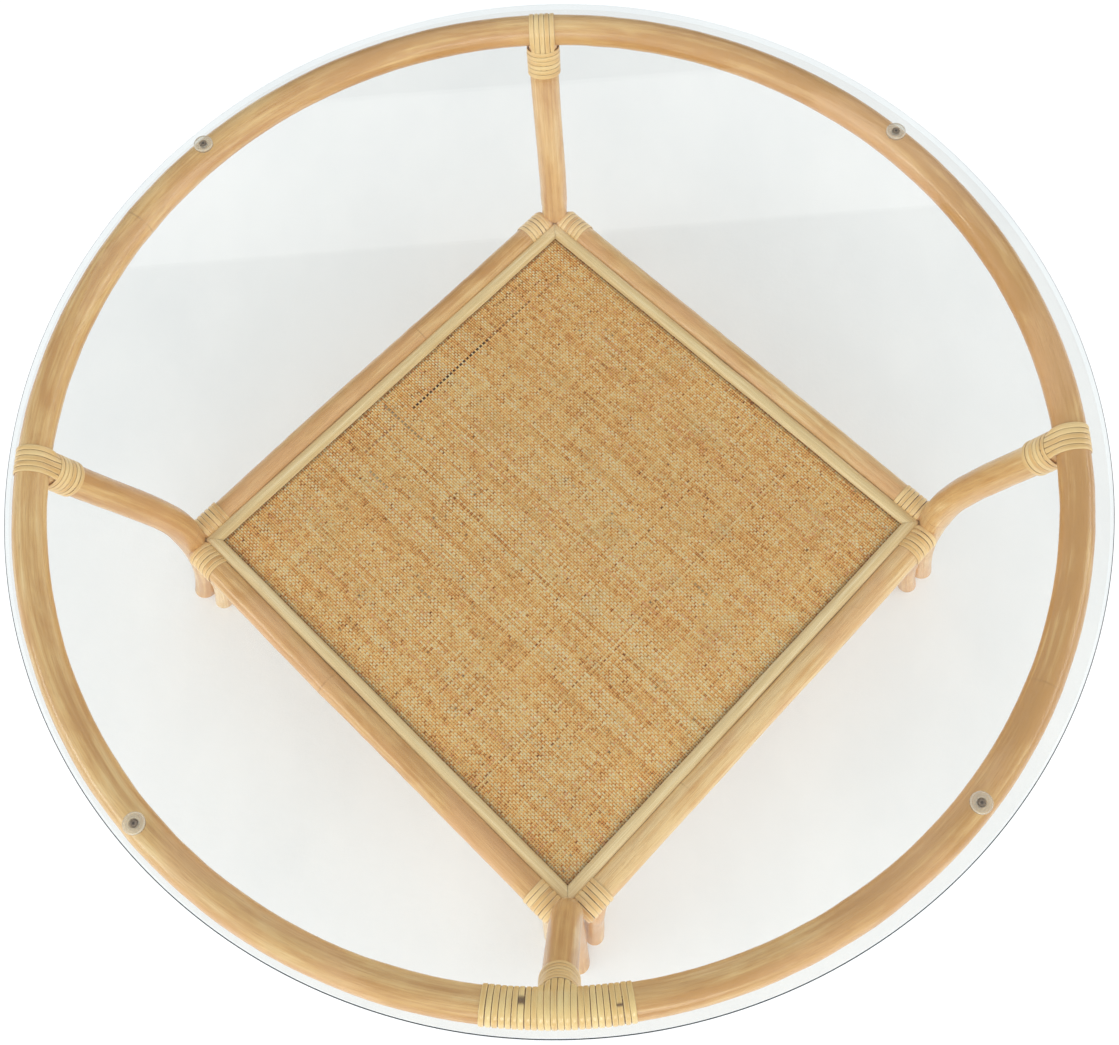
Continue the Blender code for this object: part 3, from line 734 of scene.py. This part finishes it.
def make_braces():
    half = math.sqrt(0.5)
    by_angle = {angle: place for place, angle in LEG_ANGLES.items()}
    for place, angle in SIDE_ANGLES.items():
        points = []
        for sign in (-1.0, 1.0):
            leg = by_angle[(angle + sign * 45.0) % 360.0]
            aside = BRACE_ASIDE_WIDE if (place, leg) == WIDE_BRACE_FOOT else BRACE_ASIDE
            way = []
            for height in np.linspace(0.0, BRACE_BEND_Z, 8):
                drop = (WAIST_Z - height) / WAIST_Z
                reach = BRACE_REACH + (BRACE_FOOT_REACH - BRACE_REACH) * drop * drop
                way.append(((reach - aside) * half, (reach + aside) * half, height))
            start_along, start_out, _ = way[-1]
            rise = BRACE_RUN_Z - BRACE_BEND_Z
            for turn in np.linspace(0.0, 0.5 * math.pi, 13)[1:]:
                share = ease(turn, 0.0, 0.5 * math.pi)
                along = start_along - rise * (1.0 - math.cos(turn))
                out = start_out + (BRACE_RUN_DISTANCE - start_out) * share
                way.append((along, out, BRACE_BEND_Z + rise * math.sin(turn)))
            side = [side_point(angle, sign * a, o, z) for a, o, z in way]
            points += side if sign < 0.0 else side[::-1]
        points = resample(points, POLE_SPACING)
        keep = points[:, 2] > FOOT_CLEAR_Z
        keep[0] = keep[-1] = True
        points = points[keep]
        length = distances(points)[-1]
        rings = length * np.array((RNG.uniform(0.1, 0.3), RNG.uniform(0.45, 0.6), RNG.uniform(0.75, 0.9)))
        tone = RNG.uniform(-RANDOM_TONE, RANDOM_TONE)
        pole(
            "brace_pole_" + place, points, BRACE_POLE, "brace_" + place, plan(angle), rings, tone,
            sides=BRACE_SIDES, feet=(True, True)
        )


# Cross-section of a strip as (across, out), in shares of its width and thickness
STRIP_SECTION = np.array((
    (-0.14, 1.0), (0.14, 1.0), (0.34, 0.90), (0.46, 0.62), (0.50, 0.10),
    (0.0, 0.0), (-0.50, 0.10), (-0.46, 0.62), (-0.34, 0.90),
))


PEEL_THICKNESS = 0.0012
COLLAR_PEEL_THICKNESS = 0.0011
STRIP_TAPER = 0.006
RAIL_TURNS = 6
RAIL_BINDING_START = 0.016
RAIL_BINDING_LENGTH = 0.030
RAIL_WIND_START = 0.8
COLLAR_TURNS = 6
COLLAR_WIND_START = 0.3
STRAP_PITCH = 0.0049
STRAP_STRANDS = 5
FRONT_STRAP_STRANDS = 6
STRAP_STRIP_SHARE = 0.97
STRAP_END_BACK = -0.0005
PEEL_SEAT = 0.00005
SPLICE_PITCH = 0.0047
SPLICE_TURNS = 9
SPLICE_SEAT = -0.00003
# Dark marks on the splice's two halves: turn: (distance along it, half length)
SPLICE_SPOTS = {-1.0: {2: (0.050, 0.003)}, 1.0: {6: (0.044, 0.0008)}}
SLEEVE_SIDES = 32
SLEEVE_LIFT = 0.0002
# Painted shade of the sleeve that shows in the gaps between turns
SLEEVE_PAINTED_SHADE = 0.85
TURN_STEPS = 44
TURN_OVERLAP = 0.04


def strip(skin, points, out, width, thickness, tone, taper=(True, True), spot=None):
    """One strip of peel along points, its skin side facing out.

    taper thins its two ends, and spot is a dark mark as (distance along, half length).
    """
    at = distances(points)
    tangent = unit(np.gradient(points, axis=0))
    out = unit(out - tangent * np.sum(out * tangent, axis=1, keepdims=True))
    side = np.cross(tangent, out)
    span = at[-1]
    thin = np.ones_like(at)
    for tapers, from_end in zip(taper, (at, span - at)):
        if tapers:
            thin *= 0.25 + 0.75 * ease(from_end, 0.0, STRIP_TAPER)
    wide = width * (1.0 + 0.05 * wander(at, 0.05))
    thick = thickness * thin
    across = STRIP_SECTION[None, :, 0] * wide[:, None]
    rise = STRIP_SECTION[None, :, 1] * thick[:, None]
    grid = points[:, None, :] + side[:, None, :] * across[..., None] + out[:, None, :] * rise[..., None]
    seed = RNG.uniform(0.0, 8.0, 3)
    grain = triples(across, rise, at[:, None]) + seed
    mark = np.zeros_like(at)
    if spot is not None:
        mark = np.clip(1.4 - np.abs(at - spot[0]) / spot[1], 0.0, 1.0)
    tones = tone + 0.12 * wander(at, 0.03)[:, None]
    trait = triples(STRIP_SECTION[None, :, 0], tones, mark[:, None])
    skin.grid(grid, grain, trait, ends=(True, True))


def wind(skin, axis, radius, pitch, turns, start, thickness=PEEL_THICKNESS, hand=1.0, spots=None):
    """Turns of peel round an axis, over a sleeve painted as shade that shows between them.

    axis(place) gives the centre there and the first and second direction. Each turn
    lies flat and steps to the next in its last quarter.
    """
    sleeve = np.linspace(0.3 * pitch, (turns - 0.3) * pitch, 2 * turns + 1)
    centre, first, second = axis(sleeve)
    theta = np.linspace(0.0, math.tau, SLEEVE_SIDES, endpoint=False)[::int(hand)]
    ring = around(theta, first[:, None, :], second[:, None, :])
    cover = centre[:, None, :] + ring * (radius + SLEEVE_LIFT)
    # The sleeve is a dark sheet of painted shade for the gaps between turns
    skin.grid(cover, cover * 40.0, np.array((0.0, 0.0, SLEEVE_PAINTED_SHADE)), ends=(True, True))
    tones = RNG.uniform(0.10, 0.90, turns)
    lifts = RNG.uniform(-0.00012, 0.00012, turns)
    shift = RNG.uniform(-0.05, 0.05, turns + 1) * pitch
    phase = np.linspace(-TURN_OVERLAP, math.tau + TURN_OVERLAP, TURN_STEPS + 1)
    climb = ease(phase, 1.5 * math.pi, math.tau)
    tuck = 0.6 * thickness * ease(phase, math.tau - 0.5, math.tau)
    angle = start + hand * phase
    for turn in range(turns):
        last = turn == turns - 1
        step = 0.2 * pitch if last else pitch + shift[turn + 1] - shift[turn]
        centre, first, second = axis((turn + 0.5) * pitch + shift[turn] + climb * step)
        out = around(angle, first, second)
        reach = radius + lifts[turn] - tuck * last
        points = centre + out * reach[:, None]
        width = pitch * RNG.uniform(0.92, 1.0)
        spot = (spots or {}).get(turn)
        strip(skin, points, out, width, thickness, tones[turn], taper=(turn == 0, last), spot=spot)


def straight_axis(start, way, first):
    first = unit(first - way * np.dot(first, way))
    second = np.cross(way, first)

    def axis(place):
        centre = start[None, :] + way[None, :] * np.asarray(place)[:, None]
        return centre, first[None, :], second[None, :]

    return axis


def hoop_axis(angle):
    """Along the hoop's pole from an angle; first points outwards and second up."""

    def axis(place):
        turns = math.radians(angle) + np.asarray(place) / HOOP_RADIUS
        outward = triples(np.cos(turns), np.sin(turns), 0.0)
        return HOOP_CENTRE + outward * HOOP_RADIUS, outward, UP[None, :]

    return axis


def make_rail_bindings():
    for place, angle in SIDE_ANGLES.items():
        for end, sign in (("a", -1.0), ("b", 1.0)):
            way = plan(angle + 90.0) * -sign
            start = side_point(angle, sign * (RAIL_DISTANCE - RAIL_BINDING_START), RAIL_DISTANCE, RAIL_Z)
            label = place + "_" + end
            pitch = RAIL_BINDING_LENGTH / RAIL_TURNS
            axis = straight_axis(start, way, -UP)
            skin = Skin()
            wind(skin, axis, RAIL_POLE - PEEL_SEAT, pitch, RAIL_TURNS, RAIL_WIND_START)
            skin.piece("rail_wrap_" + label, "rail_binding_" + label, "split_peel", PEEL)


def strap_strand(skin, place, offset, tone, length):
    """One strand over the hoop and down both faces of the leg."""
    angle = leg_top_angle(place)
    top, way = leg_top(place)
    lateral = unit(np.cross(way, plan(angle)))
    face = np.cross(lateral, way)
    if np.dot(face, plan(angle)) < 0.0:
        face = -face
    lift = LEG_POLE + PEEL_SEAT
    bend = offset / lift
    low_side = lift * math.sin(bend)
    low_face = lift * math.cos(bend)
    round_radius = HOOP_POLE + PEEL_SEAT
    legs = np.linspace(-length, STRAP_END_BACK, 18)
    arc = np.linspace(0.5 * math.pi, -0.5 * math.pi, 26)
    flat = ease(-legs, 0.004, 0.018)
    up = np.concatenate((legs, round_radius * np.cos(arc), legs[::-1]))
    near = low_face * flat + round_radius * (1.0 - flat)
    stand = np.concatenate((near, round_radius * np.sin(arc), -near[::-1]))
    share = np.concatenate((flat, np.zeros_like(arc), flat[::-1]))
    aside = offset * (1.0 - share) + low_side * share
    hoop_out = HOOP_RADIUS * (math.cos(offset / HOOP_RADIUS) - 1.0)
    points = top + way * up[:, None] + face * stand[:, None] + lateral * aside[:, None]
    points += plan(angle) * hoop_out
    sign = np.sign(stand)[:, None]
    leg_out = face * (math.cos(bend) * sign) + lateral * math.sin(bend)
    hug = way * np.concatenate((0.0 * legs, np.cos(arc), 0.0 * legs))[:, None]
    hug = hug + face * np.concatenate((0.0 * legs + 1.0, np.sin(arc), 0.0 * legs - 1.0))[:, None]
    out = unit(hug * (1.0 - share[:, None]) + leg_out * share[:, None])
    strip(skin, points, out, STRAP_PITCH * STRAP_STRIP_SHARE, PEEL_THICKNESS, tone)


def make_collars():
    """Each leg's collar and strap; returns the front strap, which joins the splice."""
    for place in LEG_ANGLES:
        top, way = leg_top(place)
        skin = Skin()
        strands = FRONT_STRAP_STRANDS if place == "front" else STRAP_STRANDS
        for i in range(strands):
            offset = (i - 0.5 * (strands - 1)) * STRAP_PITCH
            tone = RNG.uniform(0.2, 0.8)
            length = COLLAR_START + COLLAR_LENGTH + RNG.uniform(-0.002, 0.001)
            strap_strand(skin, place, offset, tone, length)
        if place == "front":
            splice = skin
        else:
            skin.piece("hoop_strap_strands_" + place, "hoop_strap_" + place, "split_peel", PEEL)
        skin = Skin()
        axis = straight_axis(top - way * COLLAR_START, -way, plan(leg_top_angle(place)))
        radius = LEG_POLE + PEEL_THICKNESS * 0.85
        pitch = COLLAR_LENGTH / COLLAR_TURNS
        wind(skin, axis, radius, pitch, COLLAR_TURNS, COLLAR_WIND_START, COLLAR_PEEL_THICKNESS)
        skin.piece("leg_collar_wrap_" + place, "leg_collar_" + place, "split_peel", PEEL)
    return splice


def make_splice(skin):
    """The long glossy winding that hides the hoop's joint above the front leg."""
    front = LEG_ANGLES["front"]
    gap = 3.0 * STRAP_PITCH
    axis = hoop_axis(front)
    for sign, spots in SPLICE_SPOTS.items():

        def outward(place, sign=sign):
            return axis(sign * (gap + place))

        radius = HOOP_POLE + SPLICE_SEAT
        wind(skin, outward, radius, SPLICE_PITCH, SPLICE_TURNS, -0.5 * math.pi, hand=-sign, spots=spots)
    skin.piece("hoop_splice_wrap", "hoop_splice_binding", "split_peel", SKIN)


def make_slats():
    across = np.linspace(0.0, 1.0, SLAT_COLUMNS)
    crown = (1.0 - np.abs(2.0 * across - 1.0) ** 2.6) ** 0.6
    crown[0] = crown[-1] = 0.0
    stations = np.linspace(-1.0, 1.0, SLAT_STATIONS)
    for place, angle in SIDE_ANGLES.items():
        seed = RNG.uniform(0.0, 8.0, 3)
        out = SLAT_OUTER - SLAT_WIDTH + SLAT_WIDTH * across
        sway = 0.0003 * wander(stations, 0.6) * (1.0 - stations ** 2)
        half = out - MITRE_GAP
        along = stations[:, None] * half[None, :]
        outs = out[None, :] + sway[:, None]
        rise = crown[None, :] * SLAT_HEIGHT * (1.0 + 0.012 * wander(stations, 0.3))[:, None]
        rise = np.minimum(rise, SLAT_HEIGHT)
        points = BASE_CENTRE + plan(angle) * outs[..., None] + plan(angle + 90.0) * along[..., None]
        points[..., 2] = SLAT_CREST_Z - SLAT_HEIGHT + rise
        grain = triples(outs, rise, along) + seed
        # Third trait part is painted shade, rising over the outermost columns beside the rail
        trait = triples(0.0, RNG.uniform(-RANDOM_TONE, RANDOM_TONE), ease(across, 0.86, 1.0)[None, :])
        skin = Skin()
        skin.grid(points[:, ::-1], grain[:, ::-1], trait[:, ::-1], ends=(True, True))
        skin.piece("slat_moulding_" + place, "slat_" + place, "cane_moulding", SLAT)


# Dark-skinned lengths of strand (strand, first and last crossing, depth), which
# show at every other crossing
DARK_LENGTHS = {
    "a": ((89, 5, 29, 0.6), (64, 23, 34, 0.5), (121, 153, 161, 0.5), (43, 73, 81, 0.5)),
    "b": (
        (15, 97, 142, 1.0), (15, 142, 169, 0.6), (6, 156, 173, 0.5), (16, 171, 190, 0.4),
        (15, 69, 87, 0.45),
    ),
}
# Painted light and shade on a strand's four corners, against its own tone: a painted highlight on top,
# painted shade on the two sides and underneath
STRAND_PAINTED_SHADING = np.array((0.14, -0.42, -0.42, -0.42))


def strand_tones(count, crossings, streaky):
    """Tone of each strand at each crossing, around the middle of 0..1."""
    along = np.arange(crossings) * WEAVE_PITCH
    tones = np.zeros((count, crossings))
    band = np.zeros(crossings)
    for i in range(count):
        if i % RNG.integers(2, 5) == 0:
            band = 0.08 * streaky * wander(along, 0.14)
        own = 0.12 * streaky * wander(along, 0.05)
        tones[i] = RNG.normal(0.0, 0.03 + 0.10 * streaky) + band + own
    tones += RNG.normal(0.0, 0.15, tones.shape)
    return tones + 0.50


def make_weave():
    """Two crossing sets of strands, each in two halves."""
    count = WEAVE_STRANDS
    offsets = (np.arange(count) - 0.5 * (count - 1)) * WEAVE_PITCH
    across_way, along_way = plan(45.0), plan(-45.0)
    # Strands next to the slats get painted shade, where the slats shade the weave
    edge = np.abs(offsets) > SLAT_OUTER - SLAT_WIDTH - WEAVE_EDGE_SHADE
    rim = np.maximum(edge[:, None], edge[None, :]).astype(float)
    sets = (("a", across_way, along_way, 1.0, 0, 0.00205), ("b", along_way, across_way, 0.3, 1, 0.0019))
    section = np.array(((0.0, 1.0), (0.5, 0.0), (0.0, -1.0), (-0.5, 0.0)))
    section[:, 1] *= STRAND_HALF_THICKNESS
    for label, side, way, streaky, flip, wide in sets:
        tones = strand_tones(count, count, streaky)
        blush = RNG.normal(0.0, 0.32, (count, 1)) + 0.25 * RNG.normal(0.0, 1.0, (count, count))
        blush = np.clip(blush, 0.0, 1.0)
        spots = RNG.random((count, count)) < DARK_SPOT_CHANCE
        dark = spots * RNG.uniform(0.4, 1.0, (count, count))
        tones[RNG.random(count) < 0.12 * streaky] += 0.20
        lanes = offsets + RNG.normal(0.0, 0.00007, count)
        widths = wide * (1.0 + RNG.normal(0.0, 0.06, count))
        for strand, start, end, depth in DARK_LENGTHS[label]:
            dark[strand, start:end] = depth
            widths[strand] = DARK_STRAND_WIDTH
        # The slat-side strands take painted shade at least this dark, on top of their dark skin and spots
        dark = np.maximum(dark, WEAVE_RIM_PAINTED_SHADE * rim)
        over = np.where((np.arange(count)[:, None] + np.arange(count)[None, :] + flip) % 2, 1.0, -1.0)
        # Painted light and shade: a strand is paler where it passes over a crossing and darker where it goes
        # under; 0.24 raises the whole tone
        tones += 0.24 + 0.16 * over
        height = WEAVE_MIDDLE_Z + WEAVE_LIFT * over + RNG.normal(0.0, 0.00004, (count, count))
        for half in (0, 1):
            rows = slice(half * count // 2, (half + 1) * count // 2)
            skin = Skin()
            for i in range(count)[rows]:
                centre = BASE_CENTRE + side * lanes[i] + way * offsets[:, None]
                centre[:, 2] = height[i]
                across = section[None, :, 0] * widths[i]
                grid = centre[:, None, :] + side * across[..., None]
                grid[..., 2] += section[:, 1]
                grain = triples(lanes[i] * 3.0 + across, section[None, :, 1], offsets[:, None])
                # First trait part: the strand's own tone plus painted highlight on top and painted shade at
                # its sides and under crossings; third part: its dark skin and the painted shade beside the
                # slats
                trait = triples(tones[i][:, None] + STRAND_PAINTED_SHADING, blush[i][:, None], dark[i][:, None])
                if np.dot(np.cross(UP, side), way) > 0.0:
                    grid, grain = grid[:, ::-1], grain[:, ::-1]
                skin.grid(grid, grain, trait, ends=(True, True))
            skin.piece("weave_" + label + str(half), "woven_panel", "woven_cane", WEAVE, sharp=0.0)


def lathe(name, profile, centre, sides, node, slot, material, body="frame", closed=False, sharp=35.0):
    """A profile of (radius, height) turned about a vertical axis, bottom centre first."""
    theta = np.linspace(0.0, math.tau, sides, endpoint=False)
    reach, height = np.array(profile, float).T[..., None]
    points = triples(reach * np.cos(theta), reach * np.sin(theta), height) + centre
    skin = Skin()
    skin.grid(points, points, triples(reach, 0.0, 0.0), round_rows=closed, ends=(not closed, not closed))
    return skin.piece(name, node, slot, material, body=body, sharp=sharp)


def make_board():
    """The square board is a turned piece of four sides."""
    far = math.sqrt(2.0) * BOARD_HALF_SIDE
    near = math.sqrt(2.0) * (BOARD_HALF_SIDE - BOARD_ARRIS)
    high = BOARD_THICKNESS - BOARD_ARRIS
    profile = ((near, 0.0), (far, BOARD_ARRIS), (far, high), (near, BOARD_THICKNESS))
    centre = (BASE_CENTRE[0], BASE_CENTRE[1], BOARD_TOP_Z - BOARD_THICKNESS)
    lathe("shelf_plywood", profile, centre, 4, "shelf_board", "plywood", BOARD, sharp=30.0)


# Half of the glass's polished edge as (inset from the rim, height), bottom face first
GLASS_EDGE = ((0.04, 0.0), (0.0022, 0.0), (0.0012, 0.0003), (0.0003, 0.0013), (0.0, 0.0025))
GLASS_SIDES = 288
ARRIS_INSETS = (0.0003, 0.0019)
BUMPER_SIDES = 40
NAIL_SIDES = 28
NAIL_HEAD_RADIUS = 0.0028
NAIL_HEAD_CROWN = 0.0006


def make_glass():
    radius = 0.5 * (GLASS_HIGH[0] - GLASS_LOW[0])
    thickness = GLASS_HIGH[2] - GLASS_LOW[2]
    side = [(radius - inset, height) for inset, height in GLASS_EDGE]
    profile = side + [(reach, thickness - height) for reach, height in reversed(side)]
    centre = (GLASS_CENTRE[0], GLASS_CENTRE[1], GLASS_LOW[2])
    disc = lathe("glass_disc", profile, centre, GLASS_SIDES, "glass_top", "glass", GLASS, "top", sharp=25.0)
    disc.data.materials.append(GLASS_RIM)
    disc.data.materials.append(GLASS_ARRIS)
    for face in disc.data.polygons:
        if abs(face.normal.z) < 0.9:
            reach = math.hypot(face.center.x - centre[0], face.center.y - centre[1])
            upper = face.center.z > centre[2] + 0.5 * thickness
            near, far = ARRIS_INSETS
            face.material_index = 2 if upper and radius - far < reach < radius - near else 1


def make_bumpers():
    for place in ("back_left", "front_left", "front_right", "back_right"):
        node = "bumper_" + place
        centre, low, high = middle(node)
        height = high[2] - low[2]
        profile = [
            (0.0017, 0.0), (0.0084, 0.0), (0.0089, 0.0004), (0.0090, 0.0010), (0.0088, height - 0.0009),
            (0.0083, height - 0.0003), (0.0075, height), (0.0042, height), (0.0037, height - 0.0003),
            (0.0036, height - 0.0014), (0.0017, height - 0.0014),
        ]
        foot = (centre[0], centre[1], low[2])
        name = "bumper_disc_" + place
        lathe(name, profile, foot, BUMPER_SIDES, node, "clear_plastic", PLASTIC, closed=True)
        node = "bumper_nail_" + place
        centre, low, high = middle(node)
        top = (centre[0], centre[1], high[2])
        head = [(0.0004, -0.0138), (0.0010, -0.0122), (0.0011, -0.00092), (0.0026, -0.00090)]
        head += [(NAIL_HEAD_RADIUS, -0.0007)]
        for turns in np.linspace(0.15, 1.5, 8):
            reach = NAIL_HEAD_RADIUS * math.cos(turns)
            head.append((reach, NAIL_HEAD_CROWN * (math.sin(turns) - 1.0)))
        lathe("bumper_nail_head_" + place, head, top, NAIL_SIDES, node, "nail_steel", NAIL)


def place_camera():
    tilt = math.radians(CAMERA_ELEVATION)
    eye = Vector((0.0, -CAMERA_DISTANCE * math.cos(tilt), CAMERA_DISTANCE * math.sin(tilt)))
    ahead = -eye.normalized()
    right = Vector((1.0, 0.0, 0.0))
    up = right.cross(ahead)
    axes = Matrix((right, -up, ahead))
    for degrees, axis in ((CAMERA_PITCH, "X"), (CAMERA_PAN, "Y"), (CAMERA_ROLL, "Z")):
        axes = Matrix.Rotation(math.radians(degrees), 3, axis) @ axes
    yaw = Matrix.Rotation(math.radians(-TABLE_YAW), 3, "Z")
    right, down, ahead = [yaw @ Vector(row) for row in axes]
    target = Vector((GLASS_CENTRE[0], GLASS_CENTRE[1], GLASS_HIGH[2]))
    data = bpy.data.cameras.new("camera")
    data.lens = CAMERA_LENS
    data.sensor_width = CAMERA_SENSOR_WIDTH
    data.clip_start = 0.01
    data.clip_end = 20.0
    camera = enter("camera", data)
    basis = Matrix((right, -down, -ahead)).transposed().to_4x4()
    camera.matrix_world = Matrix.Translation(target + yaw @ eye) @ basis
    bpy.context.scene.camera = camera


def softbox(name, place, target, size, power, colour):
    data = bpy.data.lights.new(name, "AREA")
    data.shape = "RECTANGLE"
    data.size, data.size_y = size
    data.energy = power
    data.color = colour
    light = enter(name, data)
    light.location = place
    light.rotation_euler = (Vector(target) - Vector(place)).to_track_quat("-Z", "Y").to_euler()
    return light


# Studio light: its level, how much weaker it is towards the front and the top, and
# how dark it is in reflections
WORLD_LIGHT = 0.97
WORLD_FRONT = 0.22
WORLD_TOP = 0.16
WORLD_MIRRORED = 0.12
WORLD_COLOUR = (1.0, 0.995, 0.985, 1.0)
WARM_WHITE = (1.0, 0.98, 0.95)
SOFT_WHITE = (1.0, 0.99, 0.97)
SOFTBOX_TARGET = (0.0, 0.0, 0.2)
FLOOR_SIZE = 12.0


def make_world():
    """A plain bright surround that is dimmer where pieces mirror it."""
    world = bpy.data.worlds.new("studio")
    bpy.context.scene.world = world
    world.use_nodes = True
    look = Look("studio", world.node_tree)
    way = look.add("ShaderNodeTexCoord").outputs["Generated"]
    inputs = {0: way, 1: (0.0, -WORLD_FRONT, -WORLD_TOP)}
    lean = look.add("ShaderNodeVectorMath", inputs, operation="DOT_PRODUCT").outputs["Value"]
    level = look.math("ADD", lean, WORLD_LIGHT)
    path = look.add("ShaderNodeLightPath").outputs
    mirrored = look.math("SUBTRACT", path["Is Glossy Ray"], path["Is Transmission Ray"], clamp=True)
    strength = look.add("ShaderNodeMapRange", {0: mirrored, 3: level, 4: WORLD_MIRRORED}).outputs[0]
    background = world.node_tree.nodes["Background"].inputs
    look.put(background[0], WORLD_COLOUR)
    look.put(background[1], strength)


def make_set():
    bpy.ops.mesh.primitive_plane_add(size=FLOOR_SIZE)
    floor = bpy.context.object
    floor.name = "floor"
    floor.data.materials.append(floor_look())
    make_world()
    softbox("front_soft", (0.2, -2.7, 1.3), SOFTBOX_TARGET, (1.8, 0.8), 22.0, WARM_WHITE)
    softbox("left_soft", (-2.6, -0.9, 1.2), SOFTBOX_TARGET, (1.6, 0.6), 16.0, SOFT_WHITE)
    softbox("right_soft", (2.7, -0.1, 1.1), SOFTBOX_TARGET, (1.8, 0.6), 13.0, SOFT_WHITE)
    window = softbox("window", (-0.1, 1.75, 2.45), (0.0, 0.0, 0.4), (3.4, 0.42), 3.0, (1.0, 1.0, 1.0))
    window.visible_diffuse = False
    bpy.context.scene.view_settings.view_transform = "Standard"


make_hoop()
make_legs()
make_rails()
make_braces()
make_rail_bindings()
make_splice(make_collars())
make_slats()
make_weave()
make_board()
make_glass()
make_bumpers()
place_camera()
make_set()
